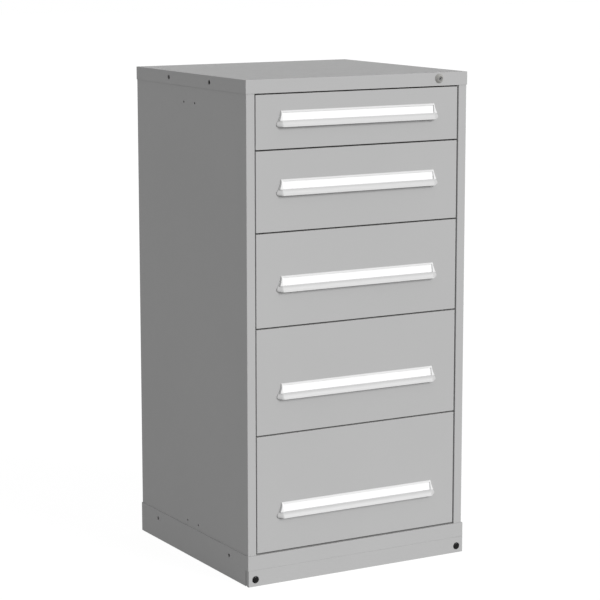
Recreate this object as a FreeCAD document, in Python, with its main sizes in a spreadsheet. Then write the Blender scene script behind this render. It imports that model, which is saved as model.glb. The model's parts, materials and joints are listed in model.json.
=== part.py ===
import FreeCAD, Part
import Sketcher
import os
import re

# Slide storage cabinet: a folded sheet-steel housing on a flat base, with five full-width
# drawers on roller carriages, a cylinder lock and a vertical lock bar.
# Millimetres. X runs to the right, Y to the back and Z up. Each sub-part is drawn with the
# face of the front posts at Y = 0 and the floor at Z = 0, then set back so that the origin
# is the middle of the footprint.

DRAWERS = 5                 # counted from the top
SLIDE_LANES = 8             # lanes in the top drawer
BOX_LANES = 4               # lanes in each drawer below it
ROLLER_PINS = 3             # pins along each carriage
RAIL_SIDES = (-1, 1)

# Driving sizes in millimetres, and the lock's turn in degrees
SIZES = {
    # housing
    "width": 758.4,             # over the two side panels
    "depth": 713.6,             # post face to back face
    "panel_sheet": 2.0,
    "post_width": 28.1,         # folded front edge of a side panel
    "post_return": 22.0,        # how far the fold runs back beside the drawers
    "rear_flange": 25.0,
    "back_sheet": 1.2,
    "bend_radius": 1.4,
    # top cover
    "cover_sheet": 1.5,
    "cover_flange": 39.9,
    "cover_gap": 0.3,
    # base
    "base_height": 93.2,
    "base_sheet": 2.2,
    "base_reach": 5.0,          # front band, ahead of the posts
    "base_foot": 40.0,
    "base_notch": 12.2,         # cut-back of a side plate's lower front corner
    "base_cover_height": 49.0,
    "base_cover_sheet": 1.5,
    "base_cover_side": 1.8,     # ends of the base's front, out from the side panels
    "base_cover_return": 10.5,
    "plug_head": 22.0,
    "plug_stem": 12.0,
    "plug_dome": 3.4,
    "plug_edge": 0.6,
    "plug_inset": 23.7,         # plug centre, in from the end of the base's front
    "plug_height": 21.0,
    "fit_gap": 0.15,
    # holes in the side panels
    "gang_hole": 14.0,
    "gang_spacing": 265.4,
    "gang_drop": 20.0,
    "base_hole": 12.0,
    "base_spacing": 480.7,
    "base_hole_height": 67.7,
    "small_hole": 7.0,
    "small_spacing": 71.2,
    "small_drop": 88.0,
    "small_rise": 17.8,
    # drawer stack, each pitch with the gap below the drawer's front
    "pitch_1": 162.5,
    "pitch_2": 240.8,
    "pitch_3": 280.9,
    "pitch_4": 320.5,
    "pitch_5": 357.0,
    "front_gap": 4.2,           # above and below a drawer's front
    "front_side_gap": 3.9,
    "front_shift": -0.9,        # middle of a front, across from the cabinet's middle
    # drawers
    "front_sheet": 1.5,
    "front_depth": 20.0,
    "drawer_sheet": 1.2,
    "drawer_room": 57.2,        # outer face of a side panel to a drawer body
    "drawer_end_gap": 52.1,     # drawer body to the back face
    "body_lift": 10.0,
    "body_drop": 14.0,
    "divider_sheet": 1.2,
    "divider_drop": 12.0,
    "divider_gap": 0.3,
    # handles
    "handle_inset": 118.8,      # end of a handle, in from the side panel's outer face
    "handle_shift": -2.0,       # middle of a handle, across from the cabinet's middle
    "handle_wall": 2.2,
    "handle_plate": 1.6,        # behind the label and against the drawer's front
    "handle_slot_top": 10.0,
    "handle_slot_foot": 16.0,
    "handle_top_reach": 2.2,
    "handle_rim_reach": 5.2,    # at the label's upper edge
    "handle_mid_reach": 9.0,
    "handle_reach": 15.0,
    "lip_height": 18.4,
    "label_height": 23.2,
    "label_rim": 5.3,
    "label_recess": 3.4,
    "label_sheet": 0.5,
    "label_gap": 0.8,
    "lift_1": 68.1,
    "lift_2": 109.5,
    "lift_3": 107.2,
    "lift_4": 107.4,
    "lift_5": 104.0,
    # handle ends, outwards from the handle: front face, then foot on the drawer's front
    "cap_top_rim": 3.2,
    "cap_mid_rim": 10.1,
    "cap_low_rim": 2.5,
    "cap_top_wing": 3.9,
    "cap_mid_wing": 10.6,
    "cap_flare_wing": 12.0,
    "cap_belly_wing": 17.6,     # halfway down the lip
    "cap_foot_wing": 12.6,
    "cap_edge": 0.8,            # thickness of a wing at its outer edge
    "cap_low_edge": 3.0,
    # rails, carriages and rollers
    "rail_sheet": 1.8,
    "rail_setback": 40.0,
    "rail_end_gap": 33.6,       # rail to the back face
    "rail_lift": 40.0,
    "runner_flange": 7.8,
    "runner_setback": 20.0,
    "carriage_end_gap": 90.0,   # shorter than a rail, at each end
    "carriage_sheet": 2.6,
    "carriage_height": 22.0,
    "slide_gap": 1.2,
    "roller": 26.0,
    "roller_play": 0.4,
    "outer_roller_width": 9.0,
    "inner_roller_width": 7.4,
    "roller_side_gap": 0.4,
    "roller_inset": 25.0,
    "pin": 8.0,
    "pin_play": 0.1,
    "pin_end": 0.6,
    # lock
    "lock_inset": 100.2,        # lock's axis, in from the side panel's outer face
    "lock_drop": 17.8,
    "lock_head": 28.5,
    "lock_reach": 8.0,
    "lock_bevel": 4.0,
    "lock_body": 20.0,
    "lock_length": 21.8,
    "lock_plug": 12.4,
    "plug_recess": 1.0,
    "turning_play": 0.06,
    "keyway_width": 2.4,
    "keyway_length": 8.4,
    "keyway_depth": 7.0,
    "lock_turn": 90.0,          # degrees
    "cam_sheet": 2.5,
    "cam_hub": 16.0,
    "cam_arm": 10.0,
    "cam_pin": 5.0,
    "cam_end": 9.0,
    "cam_gap": 0.3,
    "lever_gap": 1.0,
    "lever_sheet": 3.0,
    "lever_height": 12.0,
    "lever_left": 45.6,         # pivot to the lock's axis
    "lever_right": 40.4,        # pivot to the lock bar
    "lever_end": 7.0,
    "slot_play": 0.8,
    "slot_run": 4.0,
    "pivot_pin": 6.0,
    "pivot_head": 12.0,
    "pivot_head_sheet": 2.0,
    "bar_sheet": 3.0,
    "bar_width": 16.0,
    "bar_gap": 1.8,
    "bar_top": 8.0,
    "bar_foot": 120.0,
    "bar_slot_play": 0.4,
    "bar_slot_run": 2.0,
    "hook_sheet": 3.0,
    "hook_reach": 17.0,
    "hook_height": 10.0,
    "hook_drop": 40.0,
    "hook_clear": 3.0,
    "hook_play": 0.8,
    "lug_sheet": 3.0,
    "lug_reach": 23.0,
    "lug_height": 14.0,
    "guide_height": 20.0,
    "guide_wall": 2.5,
    "guide_play": 0.3,
    "guide_inset": 25.0,
    # cuts run past the face that they open
    "overrun": 2.0,
}

# Sizes that follow from the driving ones
DERIVED = {
    "base_cover_half": "width / 2 + base_cover_side",
    "drawer_half": "width / 2 - drawer_room",
    "drawer_length": "depth - front_sheet - drawer_end_gap",
    "handle_half": "width / 2 - handle_inset",
    "rail_length": "depth - rail_setback - rail_end_gap",
    "carriage_length": "rail_length - 2 * carriage_end_gap",
    "lock_offset": "width / 2 - lock_inset",
}

document = FreeCAD.newDocument("SlideCabinet")
sheet = document.addObject("Spreadsheet::Sheet", "Sizes")
sub_parts = {}


def fill_sheet():
    for row, (name, value) in enumerate(SIZES.items(), start=1):
        cell = "A%d" % row
        sheet.set(cell, str(value))
        sheet.setAlias(cell, name)
        sheet.set("B%d" % row, name.replace("_", " "))
    document.recompute()


# Expressions in the sheet's names

def sheet_name(word):
    name = word.group()
    if name in DERIVED:
        return "(" + named(DERIVED[name]) + ")"
    return "Sizes." + name if name in SIZES else name


def named(text):
    """Put the sheet's name before each size that the text uses."""
    return re.sub(r"[a-z]\w*", sheet_name, text)


def number(text):
    """Work an expression out, for choosing edges and for lofted pieces."""
    return float(sheet.evalExpression(named(text)))


def below(drawer):
    """Top of whatever lies under a drawer's front."""
    terms = ["base_height"]
    for lower in range(drawer + 1, DRAWERS + 1):
        terms.append("pitch_%d" % lower)
    return "(" + " + ".join(terms) + ")"


side_inner = "(width / 2 - panel_sheet)"
post_inner = "(width / 2 - post_width)"
drawers_top = "(" + below(0) + ")"
top = "(" + drawers_top + " + front_gap + cover_flange)"
front_place = "(handle_reach - depth - base_sheet) / 2"
base_outer = "(width / 2 + base_sheet)"
lock_height = "(" + top + " - lock_drop)"
pivot_across = "(lock_offset + lever_left)"
cam_face = "(lock_length - cover_gap - cover_sheet + cam_gap)"
lever_face = "(" + cam_face + " + cam_sheet + lever_gap)"
bar_face = "(" + lever_face + " + lever_sheet + bar_gap)"
bar_across = "(" + pivot_across + " + lever_right)"
lug_face = "(" + bar_face + " + hook_play)"
lever_tilt = ("atan( cam_arm * sin(lock_turn / 2)"
              " / (lever_left - cam_arm * cos(lock_turn / 2)) )")


def body_floor(drawer):
    return "(" + below(drawer) + " + front_gap + body_lift)"


def body_rim(drawer):
    return "(" + below(drawer) + " + pitch_%d - body_drop)" % drawer


def rail_height(drawer):
    return "(" + body_floor(drawer) + " + rail_lift)"


def handle_foot(drawer):
    return "(" + below(drawer) + " + lift_%d)" % drawer


def handle_crease(drawer):
    return "(" + handle_foot(drawer) + " + lip_height)"


def handle_top(drawer):
    return "(" + handle_crease(drawer) + " + label_height + label_rim)"


# Sub-parts, sketches and features

def keep(item, name):
    """Register a finished sub-part and set it back behind the origin."""
    item.Label = name
    item.setExpression("Placement.Base.y", named(front_place))
    sub_parts[name] = item
    return item


def new_body(name):
    return document.addObject("PartDesign::Body", name)


def origin_plane(body, role):
    for feature in body.Origin.OriginFeatures:
        if feature.Role == role:
            return feature


# Each way names the plane that is drawn on and the sense of its normal
WAYS = {
    "up": ("XY_Plane", 1),
    "back": ("XZ_Plane", -1),
    "across": ("YZ_Plane", 1),
}


def new_sketch(body, way, place):
    role, sense = WAYS[way]
    sketch = body.newObject("Sketcher::SketchObject", body.Name + "_sketch")
    sketch.AttachmentSupport = [(origin_plane(body, role), "")]
    sketch.MapMode = "FlatFace"
    text = place if sense > 0 else "-1 * (" + place + ")"
    sketch.setExpression("AttachmentOffset.Base.z", named(text))
    return sketch


def bind(sketch, constraint, text):
    index = sketch.addConstraint(constraint)
    sketch.setExpression("Constraints[%d]" % index, named(text))


def draw_outline(sketch, corners):
    """A closed polygon whose corners follow the sheet."""
    places = []
    for across, along in corners:
        places.append(FreeCAD.Vector(number(across), number(along), 0))
    first = sketch.GeometryCount
    for index, start in enumerate(places):
        end = places[(index + 1) % len(places)]
        sketch.addGeometry(Part.LineSegment(start, end), False)
    for index, (across, along) in enumerate(corners):
        line = first + index
        following = first + (index + 1) % len(corners)
        sketch.addConstraint(Sketcher.Constraint("Coincident", line, 2, following, 1))
        bind(sketch, Sketcher.Constraint("DistanceX", line, 1, places[index].x), across)
        bind(sketch, Sketcher.Constraint("DistanceY", line, 1, places[index].y), along)


def draw_circle(sketch, across, along, diameter):
    centre = FreeCAD.Vector(number(across), number(along), 0)
    radius = number(diameter) / 2
    circle = Part.Circle(centre, FreeCAD.Vector(0, 0, 1), radius)
    index = sketch.addGeometry(circle, False)
    bind(sketch, Sketcher.Constraint("DistanceX", index, 3, centre.x), across)
    bind(sketch, Sketcher.Constraint("DistanceY", index, 3, centre.y), along)
    bind(sketch, Sketcher.Constraint("Diameter", index, 2 * radius), diameter)


def rectangle(left, right, low, high):
    return [(left, low), (right, low), (right, high), (left, high)]


def draw_all(sketch, outlines, circles):
    for outline in outlines:
        draw_outline(sketch, outline)
    for across, along, diameter in circles:
        draw_circle(sketch, across, along, diameter)


def add(body, way, low, high, outlines=(), circles=()):
    """Pad shapes from low to high along the way's axis."""
    sense = WAYS[way][1]
    sketch = new_sketch(body, way, low if sense > 0 else high)
    draw_all(sketch, outlines, circles)
    pad = body.newObject("PartDesign::Pad", body.Name + "_pad")
    pad.Profile = sketch
    pad.setExpression("Length", named("(" + high + ") - (" + low + ")"))
    document.recompute()
    return pad


def cut(body, way, low, high, outlines=(), circles=()):
    """Pocket shapes from low to high along the way's axis."""
    sense = WAYS[way][1]
    before = body.Tip.Shape.Volume
    sketch = new_sketch(body, way, high if sense > 0 else low)
    draw_all(sketch, outlines, circles)
    pocket = body.newObject("PartDesign::Pocket", body.Name + "_pocket")
    pocket.Profile = sketch
    pocket.setExpression("Length", named("(" + high + ") - (" + low + ")"))
    document.recompute()
    if not pocket.Shape.Volume < before:
        raise RuntimeError("a pocket of %s cut nothing" % body.Name)
    return pocket


def edges_at(body, **place):
    """Names of the edges whose points all lie at the given places."""
    near = number("fit_gap") / 10
    names = []
    for index, edge in enumerate(body.Tip.Shape.Edges, start=1):
        points = [edge.valueAt(edge.FirstParameter), edge.valueAt(edge.LastParameter)]
        points.append(edge.valueAt((edge.FirstParameter + edge.LastParameter) / 2))
        matches = True
        for axis, text in place.items():
            wanted = number(text)
            for point in points:
                if abs(getattr(point, axis) - wanted) > near:
                    matches = False
        if matches:
            names.append("Edge%d" % index)
    return names


def round_edges(body, radius, names):
    base = body.Tip
    fillet = body.newObject("PartDesign::Fillet", body.Name + "_bend")
    fillet.Base = (base, names)
    fillet.setExpression("Radius", named(radius))
    document.recompute()
    return fillet


def bevel_edges(body, size, names):
    base = body.Tip
    chamfer = body.newObject("PartDesign::Chamfer", body.Name + "_bevel")
    chamfer.Base = (base, names)
    chamfer.setExpression("Size", named(size))
    document.recompute()
    return chamfer


def box(name, left, right, front, back, low, high):
    """A plain bar or strip, used where several alike share a node."""
    item = document.addObject("Part::Box", name)
    item.setExpression("Length", named("(" + right + ") - (" + left + ")"))
    item.setExpression("Width", named("(" + back + ") - (" + front + ")"))
    item.setExpression("Height", named("(" + high + ") - (" + low + ")"))
    item.setExpression("Placement.Base.x", named(left))
    item.setExpression("Placement.Base.y", named(front))
    item.setExpression("Placement.Base.z", named(low))
    return item


def group(name, items):
    compound = document.addObject("Part::Compound", name)
    compound.Links = items
    document.recompute()
    return keep(compound, name)


def signed(side, text):
    return text if side > 0 else "-1 * " + text


def span(side, inner, outer):
    """Low and high place across the cabinet for a strip on one side."""
    if side > 0:
        return inner, outer
    return signed(side, outer), signed(side, inner)


def strip(side, inner, outer, low, high):
    left, right = span(side, inner, outer)
    return rectangle(left, right, low, high)


# Housing

def side_columns(spacing):
    return ["depth / 2 - %s / 2" % spacing, "depth / 2 + %s / 2" % spacing]


def side_panel(name, side):
    """Folded panel: post and return at the front, flange at the back."""
    body = new_body(name)
    outer = signed(side, "width / 2")
    web = signed(side, side_inner)
    post = signed(side, post_inner)
    post_back = signed(side, "(" + post_inner + " + panel_sheet)")
    flange = signed(side, "(width / 2 - rear_flange)")
    rear = "depth - back_sheet"
    section = [
        (outer, "0"), (outer, rear), (flange, rear), (flange, rear + " - panel_sheet"),
        (web, rear + " - panel_sheet"), (web, "panel_sheet"), (post_back, "panel_sheet"),
        (post_back, "post_return"), (post, "post_return"), (post, "0"),
    ]
    add(body, "up", "base_sheet", top + " - cover_sheet", [section])
    holes = []
    for column in side_columns("gang_spacing"):
        holes.append((column, top + " - gang_drop", "gang_hole"))
    for column in side_columns("base_spacing"):
        holes.append((column, "base_hole_height", "base_hole"))
    for column in side_columns("small_spacing"):
        holes.append((column, top + " - small_drop", "small_hole"))
        holes.append((column, "base_height + small_rise", "small_hole"))
    low, high = span(side, "(" + side_inner + " - overrun)", "(width / 2 + overrun)")
    cut(body, "across", low, high, circles=holes)
    names = edges_at(body, x=outer, y="0") + edges_at(body, x=post, y="0")
    round_edges(body, "bend_radius", names)
    return keep(body, name)


def back_panel():
    body = new_body("back_panel")
    outline = rectangle("-1 * width / 2", "width / 2", "base_sheet", top + " - cover_sheet")
    add(body, "back", "depth - back_sheet", "depth", [outline])
    return keep(body, "back_panel")


def top_cover():
    """Pan with a deep flange all round, set over the side panels."""
    body = new_body("top_cover")
    inner = "(width / 2 + cover_gap)"
    outer = "(width / 2 + cover_gap + cover_sheet)"
    front = "-1 * (cover_gap + cover_sheet)"
    back = "depth + cover_gap + cover_sheet"
    add(body, "up", top + " - cover_flange", top,
        [rectangle("-1 * " + outer, outer, front, back)])
    cut(body, "up", top + " - cover_flange", top + " - cover_sheet",
        [rectangle("-1 * " + inner, inner, "-1 * cover_gap", "depth + cover_gap")])
    holes = []
    for column in side_columns("gang_spacing"):
        holes.append((column, top + " - gang_drop", "gang_hole"))
    cut(body, "across", "-1 * (" + outer + " + overrun)", outer + " + overrun", circles=holes)
    cut(body, "back", front + " - overrun", "0",
        circles=[("lock_offset", lock_height, "lock_body + 2 * fit_gap")])
    names = edges_at(body, z=top)
    for across in ("-1 * " + outer, outer):
        for along in (front, back):
            names += edges_at(body, x=across, y=along)
    round_edges(body, "bend_radius", names)
    return keep(body, "top_cover")


def front_top_rail():
    """Channel between the posts behind the cover's front, with the lever's pivot."""
    body = new_body("front_top_rail")
    floor = top + " - cover_flange"
    ceiling = top + " - cover_sheet"
    section = [
        ("0", floor), ("post_return", floor), ("post_return", floor + " + panel_sheet"),
        ("panel_sheet", floor + " + panel_sheet"), ("panel_sheet", ceiling + " - panel_sheet"),
        ("post_return", ceiling + " - panel_sheet"), ("post_return", ceiling), ("0", ceiling),
    ]
    add(body, "across", "-1 * " + post_inner, post_inner, [section])
    cut(body, "back", "-1 * overrun", "panel_sheet + overrun",
        circles=[("lock_offset", lock_height, "lock_body + 2 * fit_gap")])
    head = lever_face + " + lever_sheet + cam_gap"
    add(body, "back", "panel_sheet", head,
        circles=[(pivot_across, lock_height, "pivot_pin")])
    add(body, "back", "panel_sheet", lever_face + " - cam_gap",
        circles=[(pivot_across, lock_height, "pivot_head")])
    add(body, "back", head, head + " + pivot_head_sheet",
        circles=[(pivot_across, lock_height, "pivot_head")])
    return keep(body, "front_top_rail")


def bottom_panel():
    """Housing floor, notched round the posts, with a front apron."""
    body = new_body("bottom_panel")
    rear = "depth - back_sheet - panel_sheet"
    outline = [
        ("-1 * " + post_inner, "0"), (post_inner, "0"), (post_inner, "post_return"),
        (side_inner, "post_return"), (side_inner, rear), ("-1 * " + side_inner, rear),
        ("-1 * " + side_inner, "post_return"), ("-1 * " + post_inner, "post_return"),
    ]
    add(body, "up", "base_height - panel_sheet", "base_height", [outline])
    apron = rectangle("-1 * " + post_inner, post_inner, "base_cover_height",
                      "base_height - panel_sheet")
    add(body, "back", "0", "panel_sheet", [apron])
    return keep(body, "bottom_panel")


# Base

def base_side(name, side):
    """Upright plate over the foot of a side panel, with a foot flange under it."""
    body = new_body(name)
    front = "base_sheet - base_reach"
    wall = [
        (front, "base_cover_height"), ("base_notch", "base_cover_height"),
        ("base_notch", "0"), ("depth", "0"), ("depth", "base_height"),
        (front, "base_height"),
    ]
    low, high = span(side, "(width / 2)", base_outer)
    add(body, "across", low, high, [wall])
    foot = strip(side, "(width / 2 - base_foot)", "(width / 2)", "base_notch", "depth")
    add(body, "up", "0", "base_sheet", [foot])
    holes = []
    for column in side_columns("base_spacing"):
        holes.append((column, "base_hole_height", "base_hole"))
    low, high = span(side, "(width / 2 - overrun)", "(" + base_outer + " + overrun)")
    cut(body, "across", low, high, circles=holes)
    return keep(body, name)


def base_front_band():
    body = new_body("base_front_band")
    back = "base_sheet - base_reach"
    plate = rectangle("-1 * " + base_outer, base_outer, "base_cover_height", "base_height")
    add(body, "back", "-1 * base_reach", back, [plate])
    for low, high in (("base_cover_height", "base_cover_height + base_sheet"),
                      ("base_height - base_sheet", "base_height")):
        add(body, "back", back, "0",
            [rectangle("-1 * width / 2", "width / 2", low, high)])
    names = edges_at(body, y="-1 * base_reach", z="base_height")
    round_edges(body, "bend_radius", names)
    return keep(body, "base_front_band")


def base_rear_band():
    body = new_body("base_rear_band")
    add(body, "back", "depth", "depth + base_sheet",
        [rectangle("-1 * " + base_outer, base_outer, "0", "base_height")])
    foot = "(width / 2 - base_foot)"
    add(body, "up", "0", "base_sheet",
        [rectangle("-1 * " + foot, foot, "depth - base_foot", "depth")])
    return keep(body, "base_rear_band")


def plug_places():
    return [signed(side, "(" + base_outer + " - plug_inset)") for side in RAIL_SIDES]


def base_cover():
    """Front plate of the base with a return at each end, held by two plugs."""
    body = new_body("base_cover")
    front = "-1 * (base_reach + base_cover_sheet)"
    outline = rectangle("-1 * base_cover_half", "base_cover_half", "0", "base_cover_height")
    add(body, "back", front, "-1 * base_reach", [outline])
    for side in RAIL_SIDES:
        end = strip(side, "(base_cover_half - base_cover_sheet)", "base_cover_half",
                    "0", "base_cover_height")
        add(body, "back", "-1 * base_reach", front + " + base_cover_return", [end])
    holes = []
    for across in plug_places():
        holes.append((across, "plug_height", "plug_stem + 2 * fit_gap"))
    cut(body, "back", front + " - overrun", "0", circles=holes)
    names = []
    for across in ("-1 * base_cover_half", "base_cover_half"):
        names += edges_at(body, x=across, y=front)
    round_edges(body, "bend_radius", names)
    return keep(body, "base_cover")


def base_cover_plugs():
    """Two domed plugs through the base cover."""
    body = new_body("base_cover_plugs")
    seat = "-1 * (base_reach + base_cover_sheet)"
    face = seat + " - plug_dome"
    heads = []
    stems = []
    for across in plug_places():
        heads.append((across, "plug_height", "plug_head"))
        stems.append((across, "plug_height", "plug_stem"))
    add(body, "back", face, seat, circles=heads)
    add(body, "back", seat, "0", circles=stems)
    round_edges(body, "plug_dome - plug_edge", edges_at(body, y=face))
    return keep(body, "base_cover_plugs")


# Rails

def channel(wall, web, tip, height):
    """Section of a channel fixed on a wall, whose flanges hold the rollers."""
    half_gap = "(roller / 2 + roller_play)"
    half = "(roller / 2 + roller_play + rail_sheet)"
    return [
        (wall, height + " - " + half), (tip, height + " - " + half),
        (tip, height + " - " + half_gap), (web, height + " - " + half_gap),
        (web, height + " + " + half_gap), (tip, height + " + " + half_gap),
        (tip, height + " + " + half), (wall, height + " + " + half),
    ]


runner_tip = "(drawer_half + rail_sheet + runner_flange)"
carriage_inner = "(" + runner_tip + " + slide_gap)"
carriage_outer = "(" + carriage_inner + " + carriage_sheet)"
rail_tip = "(" + carriage_outer + " + slide_gap)"


def housing_rails():
    """Channels on the side panels, a pair for each drawer."""
    rails = []
    for drawer in range(1, DRAWERS + 1):
        for side in RAIL_SIDES:
            body = new_body("rail_%d_%s" % (drawer, "right" if side > 0 else "left"))
            section = channel(
                signed(side, side_inner), signed(side, "(" + side_inner + " - rail_sheet)"),
                signed(side, rail_tip), rail_height(drawer))
            add(body, "back", "rail_setback", "rail_setback + rail_length", [section])
            rails.append(body)
    return group("housing_rails", rails)


# Drawers

def drawer_front(drawer):
    """Pan whose returns give the front its depth."""
    name = "drawer_%d_front" % drawer
    body = new_body(name)
    half = "(" + post_inner + " - front_side_gap)"
    low = below(drawer) + " + front_gap"
    high = below(drawer) + " + pitch_%d" % drawer
    left = "(front_shift - " + half + ")"
    right = "(front_shift + " + half + ")"
    add(body, "back", "0", "front_depth", [rectangle(left, right, low, high)])
    cut(body, "back", "front_sheet", "front_depth",
        [rectangle(left + " + front_sheet", right + " - front_sheet",
                   low + " + front_sheet", high + " - front_sheet")])
    round_edges(body, "bend_radius", edges_at(body, y="0"))
    return keep(body, name)


def drawer_body(drawer):
    """Tray of welded sheets, its two runners and the lug that the lock bar holds."""
    floor = body_floor(drawer)
    rim = body_rim(drawer)
    back = "(front_sheet + drawer_length)"
    inner = "(drawer_half - drawer_sheet)"
    on_floor = "(" + floor + " + drawer_sheet)"
    pieces = [
        box("floor_%d" % drawer, "-1 * drawer_half", "drawer_half",
            "front_sheet", back, floor, on_floor),
        box("front_wall_%d" % drawer, "-1 * " + inner, inner,
            "front_sheet", "(front_sheet + drawer_sheet)", on_floor, rim),
        box("back_wall_%d" % drawer, "-1 * " + inner, inner,
            "(" + back + " - drawer_sheet)", back, on_floor, rim),
        box("lug_%d" % drawer, "drawer_half", "(drawer_half + lug_reach)",
            lug_face, "(" + lug_face + " + lug_sheet)",
            rim + " - hook_drop", rim + " - hook_drop + lug_height"),
    ]
    for side in RAIL_SIDES:
        hand = "right" if side > 0 else "left"
        left, right = span(side, inner, "drawer_half")
        pieces.append(box("wall_%d_%s" % (drawer, hand), left, right,
                          "front_sheet", back, on_floor, rim))
        runner = new_body("runner_%d_%s" % (drawer, hand))
        section = channel(
            signed(side, "drawer_half"), signed(side, "(drawer_half + rail_sheet)"),
            signed(side, runner_tip), rail_height(drawer))
        add(runner, "back", "runner_setback", back, [section])
        pieces.append(runner)
    return group("drawer_%d_body" % drawer, pieces)


def drawer_dividers(drawer):
    """Upright strips that part the drawer into lanes from front to back."""
    name = "drawer_%d_dividers" % drawer
    lanes = SLIDE_LANES if drawer == 1 else BOX_LANES
    inner = "(drawer_half - drawer_sheet)"
    strips = []
    for lane in range(1, lanes):
        middle = "(" + inner + " * %d / %d)" % (2 * lane - lanes, lanes)
        strips.append(box(
            "divider_%d_%d" % (drawer, lane),
            middle + " - divider_sheet / 2", middle + " + divider_sheet / 2",
            "front_sheet + drawer_sheet + divider_gap",
            "front_sheet + drawer_length - drawer_sheet - divider_gap",
            body_floor(drawer) + " + drawer_sheet", body_rim(drawer) + " - divider_drop"))
    return group(name, strips)


def drawer_handle(drawer):
    """Hooded pull, open below, with a channel for the label."""
    name = "drawer_%d_handle" % drawer
    body = new_body(name)
    foot = handle_foot(drawer)
    crease = handle_crease(drawer)
    crown = handle_top(drawer)
    section = [
        ("0", crown),
        ("-1 * handle_top_reach", crown),
        ("-1 * handle_rim_reach", crown + " - label_rim"),
        ("label_recess - handle_rim_reach", crown + " - label_rim"),
        ("label_recess - handle_mid_reach", crease),
        ("-1 * handle_mid_reach", crease),
        ("-1 * handle_reach", foot),
        ("handle_wall - handle_reach", foot),
        ("handle_wall - handle_mid_reach", crease + " - handle_wall"),
        ("label_recess + handle_plate - handle_mid_reach", crease + " - handle_wall"),
        ("-1 * handle_plate", crown + " - handle_slot_top"),
        ("-1 * handle_plate", crown + " - handle_slot_foot"),
        ("0", crown + " - handle_slot_foot"),
    ]
    add(body, "across", "handle_shift - handle_half", "handle_shift + handle_half", [section])
    return keep(body, name)


def drawer_label(drawer):
    """Blank card strip in the handle's channel."""
    name = "drawer_%d_label" % drawer
    body = new_body(name)
    crease = handle_crease(drawer)
    crown = handle_top(drawer)
    section = [
        ("label_recess - handle_rim_reach", crown + " - label_rim"),
        ("label_recess - label_sheet - handle_rim_reach", crown + " - label_rim"),
        ("label_recess - label_sheet - handle_mid_reach", crease),
        ("label_recess - handle_mid_reach", crease),
    ]
    half = "(handle_half - label_gap)"
    add(body, "across", "handle_shift - " + half, "handle_shift + " + half, [section])
    return keep(body, name)


def cap_section(side, height, reach, rim, wing, edge):
    """Level section of a handle's end, from the handle out to its foot on the panel."""
    half = number("handle_half")
    middle = number("handle_shift")
    corners = []
    for out, ahead in ((0, 0), (0, reach), (rim, reach), (wing, edge), (wing, 0)):
        corners.append(FreeCAD.Vector(middle + side * (half + out), -ahead, height))
    return Part.makePolygon(corners + corners[:1])


def cap_shape(drawer, side):
    """Moulded end: a flare from crown to foot, and a rim beside the label."""
    foot = number(handle_foot(drawer))
    crease = number(handle_crease(drawer))
    label_top = number(handle_top(drawer) + " - label_rim")
    crown = number(handle_top(drawer))
    top_reach = number("handle_top_reach")
    rim_reach = number("handle_rim_reach")
    mid_reach = number("handle_mid_reach")
    low_reach = number("handle_reach")
    top_rim = number("cap_top_rim")
    low_rim = number("cap_low_rim")
    top_wing = number("cap_top_wing")
    edge = number("cap_edge")
    low_edge = number("cap_low_edge")
    rim = Part.makeLoft([
        cap_section(side, crown, top_reach, top_rim, top_wing, edge),
        cap_section(side, label_top, rim_reach, top_rim, top_wing, edge),
        cap_section(side, crease, mid_reach, number("cap_mid_rim"), number("cap_mid_wing"), edge),
    ], True, True)
    flare = Part.makeLoft([
        cap_section(side, crease, mid_reach, low_rim, number("cap_flare_wing"), edge),
        cap_section(side, (crease + foot) / 2, (mid_reach + low_reach) / 2, low_rim,
                    number("cap_belly_wing"), low_edge),
        cap_section(side, foot, low_reach, low_rim, number("cap_foot_wing"), low_edge),
    ], True, True)
    return rim.fuse(flare)


def drawer_end_caps(drawer):
    name = "drawer_%d_end_caps" % drawer
    item = document.addObject("Part::Feature", name)
    item.Shape = Part.makeCompound([cap_shape(drawer, side) for side in RAIL_SIDES])
    return keep(item, name)


# Carriages

def pin_columns():
    """Places of the roller pins along a carriage."""
    rail_middle = "(rail_setback + rail_length / 2)"
    runner_middle = "((runner_setback + front_sheet + drawer_length) / 2)"
    middle = "((" + rail_middle + " + " + runner_middle + ") / 2)"
    columns = []
    for pin in range(ROLLER_PINS):
        step = "%d / %d" % (2 * pin - (ROLLER_PINS - 1), ROLLER_PINS - 1)
        columns.append(middle + " + (carriage_length / 2 - roller_inset) * " + step)
    return middle, columns


def drawer_carriages(drawer):
    """Plate with its roller pins, one on each side of the drawer."""
    name = "drawer_%d_carriages" % drawer
    height = rail_height(drawer)
    middle, columns = pin_columns()
    sides = []
    for side in RAIL_SIDES:
        body = new_body("carriage_%d_%s" % (drawer, "right" if side > 0 else "left"))
        plate = rectangle(middle + " - carriage_length / 2", middle + " + carriage_length / 2",
                          height + " - carriage_height / 2", height + " + carriage_height / 2")
        low, high = span(side, carriage_inner, carriage_outer)
        add(body, "across", low, high, [plate])
        pins = []
        for column in columns:
            pins.append((column, height, "pin"))
        reach_in = "(" + carriage_inner + " - roller_side_gap - inner_roller_width - pin_end)"
        reach_out = "(" + carriage_outer + " + roller_side_gap + outer_roller_width + pin_end)"
        low, high = span(side, reach_in, reach_out)
        add(body, "across", low, high, circles=pins)
        sides.append(body)
    return group(name, sides)


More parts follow.
